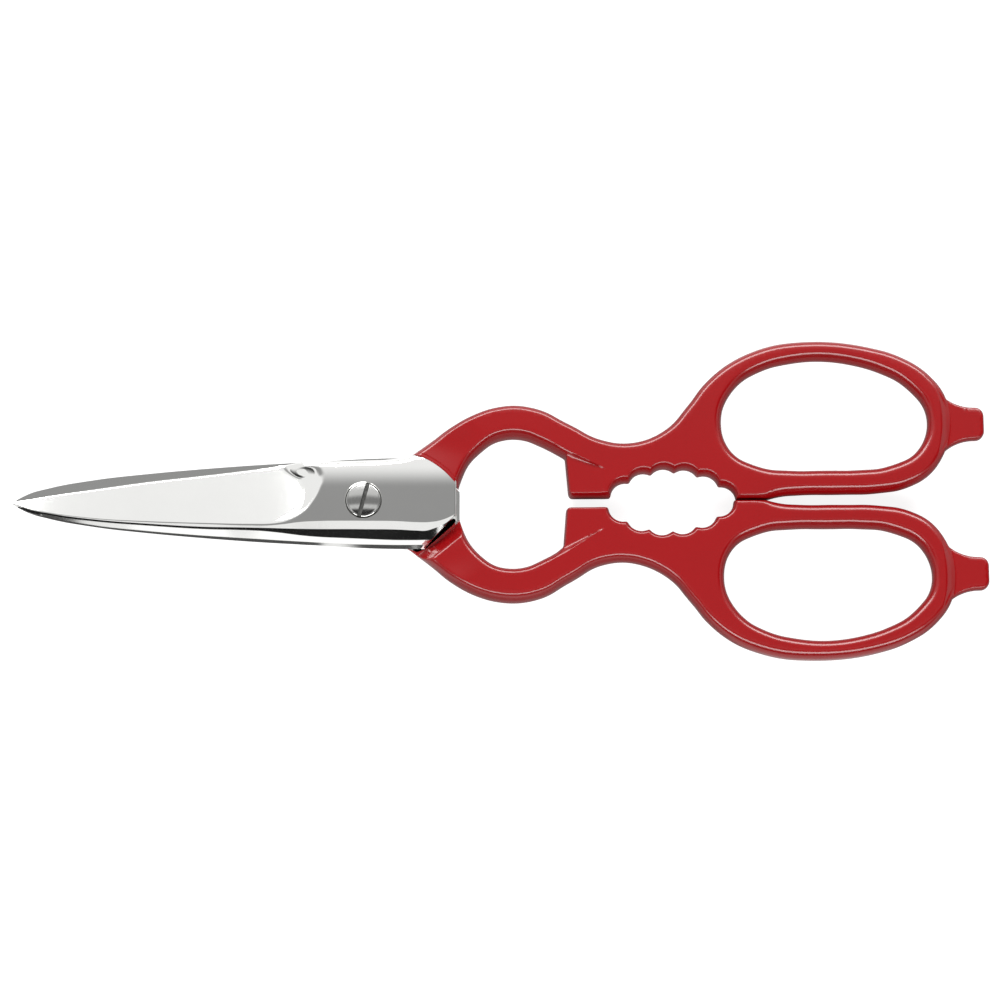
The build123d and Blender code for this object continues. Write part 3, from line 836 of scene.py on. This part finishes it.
class HandleSizes(bpy.types.PropertyGroup):
    reach: length(127.8, "Pivot to the end of the stub")
    rise: length(33.28, "Line between the handles to the outside of a finger bow")
    turn: angle(0.45, "How far the closed handles stand askew to the blades")
    rib_thick: length(7.5, "Curved rib beside the eye")
    waist_thick: length(6.0, "Waist, lug and teeth")
    bow_thick: length(5.4, "Finger bow")
    rib_round: length(1.45, "Edge radius of rib and waist")
    bow_round: length(1.65, "Edge radius of the finger bow")
    tooth_round: length(1.0, "Edge radius of the serrated mouth")
    lug_round: length(0.55, "Edge radius of the lug")
    pad_round: length(0.8, "Edge radius of the stop pad")
    edge_flat: length(0.4, "Half height of the plain band between the two edge roundings")
    pad_gap: length(0.2, "Between the closed stop pads")
    mouth_lean: angle(2.7, "How far the mouth leans towards the finger bow")
    tooth_pitch: angle(15.3, "Angle from tooth to tooth")
    tooth_height: length(1.0, "Depth of the scallops")
    jaw_shift: length(0.5, "How much nearer the pivot the rear mouth stands")
    lug_edge: length(1.25, "Line between the handles to the lug")
    lug_slant: length(0.6, "Lean of the lug's near side")
    lug_corner: length(0.8, "Rounding of the lug's near corner")
    stub_thick: length(3.0, "Prising stub behind the finger bow")
    stub_width: length(6.8, "Prising stub behind the finger bow")
    stub_corner: length(1.8, "Corner radius of the stub")
    stub_flare: length(7.5, "Half width of the stub's root")
    stub_valley: length(2.2, "How much softer the finger bow's edge is above the stub")
    bead: length(0.07, "Drop of the lacquer beside the boss")
    bead_wide: length(0.62, "Width of that drop")
    skin: length(1.0, "How much further in the lacquer starts on the mating side")


class BossSizes(bpy.types.PropertyGroup):
    blade_reach: length(72.08, "Pivot to tip")
    boss_thick: length(3.5, "Mating plane to the boss's face")
    boss_round: length(1.5, "Edge radius on the boss's cutting side")
    crown_start: length(2.57, "Pivot to where the face begins to bend to that side")
    crown_radius: length(75.5, "Radius that the face bends with there")
    face_radius: length(330.0, "Radius of the rest of the boss's face")
    end_round: length(0.4, "Edge radius at the boss's end")
    edge_bevel: length(0.3, "Width of the ground cutting edge")
    ramp_foot: length(1.2, "Width of the ground shoulder where it dies away")
    ramp: amount(0.85, "How much wider it grows with the square of its height")
    ride_gap: length(0.06, "Between the mating faces")
    paint_radius: length(17.4, "Curve that the lacquer ends on")
    paint_along: length(4.7, "Pivot to that curve's middle")
    paint_across: length(6.7, "Pivot to that curve's middle")
    tuck: length(0.6, "How far the steel goes on under the lacquer's edge")
    lap_reach: length(19.2, "Pivot to the step of the half-lap")
    lap_lean: angle(48.5, "Direction of that step")
    lap_slope: length(3.6, "Run of the sloping step")


class ScrewSizes(bpy.types.PropertyGroup):
    head_width: length(7.0, "Across the screw's head")
    head_high: length(1.0, "Seat to the head's top")
    head_sink: length(0.45, "Depth of the recess")
    recess: length(3.68, "Radius of the recess")
    recess_ease: length(0.15, "Bevel round the recess")
    dome: length(12.0, "Radius of the domed head")
    slot_wide: length(0.85, "Across the slot")
    slot_deep: length(0.6, "Depth of the slot")
    slot_lean: angle(14.5, "How far the slot stands askew")
    shank_width: length(4.6, "Across the screw's shank")


class FinishColours(bpy.types.PropertyGroup):
    steel: colour("EDEDEB", "Polished blade and boss")
    steel_shade: colour("E8E8E6", "Duller patches of the steel")
    screw: colour("BCBCBA", "Turned screw")
    # The slot's steel is darker than the screw's, with darker patches; the bore and the recess
    # round the head get it too
    slot: colour("6E6E6C", "Sawn slot")
    slot_shade: colour("2E2E2D", "Dirt in the sawn slot")
    lacquer: colour("7F0408", "Red lacquer")
    lacquer_shade: colour("770407", "Deeper patches of the lacquer")


class StudioSettings(bpy.types.PropertyGroup):
    tilt: angle(12.0, "How far the camera leans from straight above")
    distance: length(750.0, "Camera to object")
    lens: amount(131.45, "Focal length in mm")
    world: amount(0.15, "Strength of the room's diffuse light")
    far_light: amount(11.0, "Brightness of the softbox behind")
    near_light: amount(9.0, "Brightness of the softbox in front")


class Sizes:
    """Lengths in mm and angles in degrees of some property groups, as plain numbers."""

    def __init__(self, *groups):
        for group in groups:
            for key in type(group).__annotations__:
                value, unit = getattr(group, key), group.bl_rna.properties[key].unit
                setattr(self, key, value / MM if unit == "LENGTH"
                        else math.degrees(value) if unit == "ROTATION" else value)


def dress(piece, material, body, node, crisp):
    """Smooths a piece with crisp edges, ties it to its body and finish, and hides the node that it
    stands in for.
    """
    pick(piece)
    bpy.ops.object.shade_smooth_by_angle(angle=math.radians(crisp))
    piece.data.materials.clear()
    piece.data.materials.append(material)
    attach(piece, body)
    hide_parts(node)
    print(piece.name, "triangles", sum(len(p.vertices) - 2 for p in piece.data.polygons))


def stored(name, maker, colours):
    return bpy.data.materials.get(name) or maker(colours)


def dull(piece, colours, picks):
    """Gives the faces whose middles are picked the finish of sawn steel."""
    piece.data.materials.append(stored("sawn_stainless_steel", sawn_steel, colours))
    for face in piece.data.polygons:
        if picks(face.center):
            face.material_index = 1


class SHEARS_OT_blades(bpy.types.Operator):
    """Makes both blades with their bosses"""

    bl_idname = "shears.blades"
    bl_label = "Blades"

    def execute(self, context):
        scene = context.scene
        s = Sizes(scene.shears_boss, scene.shears_screw)
        steel = stored("polished_stainless_steel", polished_steel, scene.shears_colours)
        for name, side, end, node, body in (
                ("front_blade", 1, 19.0, "front_half", "front_body"),
                ("rear_blade", -1, 19.6, "rear_half", "rear_body")):
            bore = s.shank_width / 2 + (0.05 if side > 0 else 0.005)
            piece = blade_piece(s, name, side, end, bore)
            dress(piece, steel, body, node, 24)
            # The bore and the recess under the screw's head get the darker slot steel
            dull(piece, scene.shears_colours,
                 lambda spot: (spot - PIVOT).xy.length < (s.recess + 0.015) * MM)
        return {"FINISHED"}


class SHEARS_OT_handles(bpy.types.Operator):
    """Makes both lacquered handles with rib, waist, teeth, finger bow and stub"""

    bl_idname = "shears.handles"
    bl_label = "Handles"

    def execute(self, context):
        scene = context.scene
        s = Sizes(scene.shears_handle, scene.shears_boss)
        lacquer = stored("baked_red_lacquer", red_lacquer, scene.shears_colours)
        for name, side, shift, node, body in (
                ("front_handle", 1, 0.0, "front_handle_coat", "front_body"),
                ("rear_handle", -1, s.jaw_shift, "rear_handle_coat", "rear_body")):
            piece = handle_piece(s, name, side, shift)
            dress(piece, lacquer, body, node, 40)
        return {"FINISHED"}


class SHEARS_OT_screw(bpy.types.Operator):
    """Makes the slotted pivot screw with its domed head"""

    bl_idname = "shears.screw"
    bl_label = "Pivot screw"

    def execute(self, context):
        scene = context.scene
        s = Sizes(scene.shears_screw, scene.shears_boss)
        seat = PIVOT.z / MM + s.boss_thick - s.head_sink + 0.05
        foot = PIVOT.z / MM - s.boss_thick + 0.15
        bpy.ops.object.select_all(action="DESELECT")
        bpy.ops.mesh.primitive_cylinder_add(
            vertices=128, radius=s.shank_width / 2 * MM, depth=(seat - foot) * MM,
            location=(PIVOT.x, PIVOT.y, (seat + foot) / 2 * MM))
        piece = context.object
        piece.name = piece.data.name = "pivot_screw_dressed"
        bpy.ops.object.transform_apply(location=True, rotation=True, scale=True)
        bpy.ops.object.mode_set(mode="EDIT")
        bpy.ops.mesh.select_mode(type="FACE")

        def top_only():
            bpy.ops.mesh.select_all(action="DESELECT")
            bpy.ops.object.mode_set(mode="OBJECT")
            faces = piece.data.polygons
            max(faces, key=lambda face: (round(face.center.z, 7), face.area)).select = True
            bpy.ops.object.mode_set(mode="EDIT")

        # The head spreads out over its seat, rises, and is domed ring by ring
        top_only()
        bpy.ops.mesh.extrude_region_move()
        bpy.ops.transform.resize(value=(s.head_width / s.shank_width,) * 2 + (1,))
        radius, rim = s.head_width / 2, 0.25
        dome_rise, rim_rise = (radius - rim) ** 2 / (2 * s.dome), rim * 0.6
        rise = s.head_high - 0.02 - dome_rise - rim_rise
        bpy.ops.mesh.extrude_region_move(TRANSFORM_OT_translate={"value": (0, 0, rise * MM)})
        rings = [(radius - rim * (1 - math.cos(turn)), rim_rise * math.sin(turn))
                 for turn in np.linspace(0.3, math.pi / 2 - 0.25, 5)]
        rings += [(wide, rim_rise + dome_rise - wide * wide / (2 * s.dome))
                  for wide in np.linspace(radius - rim, 0.25, 16)]
        high = 0.0
        for wide, up in rings:
            bpy.ops.mesh.inset(thickness=(radius - wide) * MM, depth=(up - high) * MM)
            radius, high = wide, up
        bpy.ops.object.mode_set(mode="OBJECT")

        # The slot is cut across the head
        bpy.ops.object.select_all(action="DESELECT")
        bpy.ops.mesh.primitive_cube_add(
            size=1, location=(PIVOT.x, PIVOT.y, (seat + s.head_high) * MM),
            rotation=(0, 0, -math.radians(s.slot_lean)),
            scale=(s.slot_wide * MM, (s.head_width + 2) * MM, s.slot_deep * 2 * MM))
        cutter = context.object
        pick(piece)
        cut = piece.modifiers.new("slot", "BOOLEAN")
        cut.object, cut.operation, cut.solver = cutter, "DIFFERENCE", "EXACT"
        bpy.ops.object.modifier_apply(modifier=cut.name)
        bpy.data.objects.remove(cutter)
        steel = stored("turned_stainless_steel", turned_steel, scene.shears_colours)
        dress(piece, steel, "rear_body", "pivot_screw", 30)
        lean = math.radians(s.slot_lean)

        def in_slot(spot):
            x, y = (spot - PIVOT).xy
            across = abs(x * math.cos(lean) - y * math.sin(lean))
            return across < s.slot_wide / 2 * MM + 1e-6 and spot.z > seat * MM

        dull(piece, scene.shears_colours, in_slot)
        return {"FINISHED"}


def aimed(thing, angle_from_top, distance, turn=0.0):
    """Sets a thing on the arc over the shears, facing them: positive angles lean to +Y,
    or with a turn of -90 degrees to +X."""
    lean, turn = math.radians(angle_from_top), math.radians(turn)
    out = distance * math.sin(lean)
    thing.location = (-out * math.sin(turn), out * math.cos(turn), distance * math.cos(lean))
    thing.rotation_euler = (-lean, 0, turn)


def softbox(name, angle_from_top, distance, wide, high, brightness):
    light = bpy.data.lights.new(name, "AREA")
    light.shape, light.size, light.size_y = "RECTANGLE", wide, high
    light.energy = brightness * math.pi * wide * high
    lamp = bpy.data.objects.new(name, light)
    bpy.context.scene.collection.objects.link(lamp)
    aimed(lamp, angle_from_top, distance)


def soft_bands(material, bands):
    """Smooth changes from 0 to 1 along an object's axes, each from one place to another.
    Between bars, as in |X|, an axis counts both ways from the middle."""
    where = add_node(material, "TexCoord")
    split = add_node(material, "SeparateXYZ", links={"Vector": where.outputs["Object"]})
    changes = []
    for axis, start, end in bands:
        place = split.outputs[axis.strip("|")]
        if "|" in axis:
            place = add_node(material, "Math", {"operation": "ABSOLUTE"}, links={0: place})
        changes.append(add_node(material, "MapRange", {"interpolation_type": "SMOOTHSTEP"},
                                {"From Min": start, "From Max": end}, {"Value": place}))
    return changes


def plane(name, size, place=(0, 0, 0)):
    bpy.ops.object.select_all(action="DESELECT")
    bpy.ops.mesh.primitive_plane_add(size=size, location=place)
    bpy.context.object.name = name
    return bpy.context.object


def card(name, angle_from_top, distance, wide, high, grey, soft_low, soft_high, turn):
    """Studio card that only reflections show: one grey, its near and far edge soft by a
    share of its height, and its ends soft too."""
    sheet = plane(name, 1)
    aimed(sheet, angle_from_top, distance, turn)
    sheet.scale = (wide, high, 1)
    material = new_material(name)
    near, far, ends = soft_bands(material, (("Y", -0.5, -0.5 + soft_low),
                                            ("Y", 0.5, 0.5 - soft_high), ("|X|", 0.5, 0.3)))
    both = add_node(material, "Math", {"operation": "MULTIPLY"}, links={0: near, 1: far})
    shown = add_node(material, "Math", {"operation": "MULTIPLY"}, links={0: both, 1: ends})
    clear = add_node(material, "BsdfTransparent")
    plain = add_node(material, "Emission", values={"Color": (grey, grey, grey, 1)})
    mixed = add_node(material, "MixShader", links={0: shown, 1: clear, 2: plain})
    sheet.data.materials.append(finished(material, mixed))
    sheet.visible_camera = sheet.visible_diffuse = sheet.visible_shadow = False


class SHEARS_OT_stage(bpy.types.Operator):
    """Makes the white table, the studio lights and cards, and the camera"""

    bl_idname = "shears.stage"
    bl_label = "Table, light and camera"

    def execute(self, context):
        scene = context.scene
        studio = scene.shears_studio
        floor = plane("table", 6, (0, 0, -0.00002))
        material = new_material("white_table")
        path = add_node(material, "LightPath")
        mirrored = add_node(material, "Math", {"operation": "MAXIMUM"},
                            links={0: path.outputs["Is Glossy Ray"],
                                   1: path.outputs["Is Transmission Ray"]})
        # Painted shadow: close beside the handles the mirrored table glows dim, standing in for the
        # shade under a real thing
        aside, ahead = soft_bands(material, (("|Y|", 0.030, 0.037), ("X", -0.012, -0.022)))
        past_painted_shadow = add_node(material, "Math", {"operation": "MAXIMUM"}, links={0: aside, 1: ahead})
        painted_shadow_glow, bright = MIRRORED_SHADOW_AND_WHITE
        glow = add_node(material, "MapRange", values={"To Min": painted_shadow_glow, "To Max": bright},
                        links={"Value": past_painted_shadow})
        faint = add_node(material, "Math", {"operation": "MULTIPLY"}, links={0: glow, 1: mirrored})
        lift = add_node(material, "Math", {"operation": "MULTIPLY_ADD"}, {1: TABLE_WHITE},
                        {0: path.outputs["Is Camera Ray"], 2: faint})
        shader = add_node(material, "BsdfPrincipled",
                          values={"Base Color": (0.25, 0.25, 0.25, 1), "Roughness": 0.9,
                                  "Specular IOR Level": 0.1, "Emission Color": (1, 1, 1, 1)},
                          links={"Emission Strength": lift})
        floor.data.materials.append(finished(material, shader))

        world = bpy.data.worlds.new("studio")
        world.use_nodes = True
        world.node_tree.nodes.clear()
        path = add_node(world, "LightPath")
        shown = add_node(world, "Math", {"operation": "MAXIMUM"},
                         links={0: path.outputs["Is Camera Ray"], 1: path.outputs["Is Glossy Ray"]})
        seen = add_node(world, "Math", {"operation": "MAXIMUM"},
                        links={0: shown, 1: path.outputs["Is Transmission Ray"]})
        strength = add_node(world, "MapRange", values={"To Min": studio.world, "To Max": 1.0},
                            links={"Value": seen})
        back = add_node(world, "Background", values={"Color": (1, 1, 1, 1)},
                        links={"Strength": strength})
        add_node(world, "OutputWorld", links={"Surface": back})
        scene.world = world

        softbox("far_softbox", 53, 0.75, 1.1, 0.32, studio.far_light)
        softbox("near_softbox", -42, 0.75, 1.1, 0.28, studio.near_light)
        for sheet in CARDS:
            card(*sheet)

        eye = bpy.data.cameras.new("camera")
        eye.lens, eye.sensor_width = studio.lens, 36
        eye.clip_start, eye.clip_end = 0.01, 20
        camera = bpy.data.objects.new("camera", eye)
        scene.collection.objects.link(camera)
        tilt = studio.tilt
        back = Vector((0, -math.sin(tilt), math.cos(tilt)))
        camera.location = Vector((0.13, 0.0, 3.75)) * MM + back * studio.distance
        camera.rotation_euler = (tilt, 0, 0)
        scene.camera = camera
        scene.view_settings.view_transform = "Standard"
        return {"FINISHED"}


class SHEARS_PT_panel(bpy.types.Panel):
    bl_idname = "SHEARS_PT_panel"
    bl_label = "Shears"
    bl_space_type = "VIEW_3D"
    bl_region_type = "UI"
    bl_category = "Shears"

    def draw(self, context):
        layout = self.layout
        for operator in OPERATORS:
            layout.operator(operator.bl_idname)
        for name, group in GROUPS.items():
            box = layout.box()
            box.label(text=group.__name__)
            for key in group.__annotations__:
                box.prop(getattr(context.scene, name), key, text=key.replace("_", " ").capitalize())


GROUPS = {"shears_handle": HandleSizes, "shears_boss": BossSizes, "shears_screw": ScrewSizes,
          "shears_colours": FinishColours, "shears_studio": StudioSettings}
OPERATORS = (SHEARS_OT_blades, SHEARS_OT_handles, SHEARS_OT_screw, SHEARS_OT_stage)


def register():
    for kind in (*GROUPS.values(), *OPERATORS, SHEARS_PT_panel):
        bpy.utils.register_class(kind)
    for name, group in GROUPS.items():
        setattr(bpy.types.Scene, name, bpy.props.PointerProperty(type=group))


def unregister():
    for name in GROUPS:
        delattr(bpy.types.Scene, name)
    for kind in (SHEARS_PT_panel, *OPERATORS, *GROUPS.values()):
        bpy.utils.unregister_class(kind)


def main():
    register()
    bpy.ops.shears.blades()
    bpy.ops.shears.handles()
    bpy.ops.shears.screw()
    bpy.ops.shears.stage()
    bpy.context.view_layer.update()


if __name__ == "__main__":
    main()
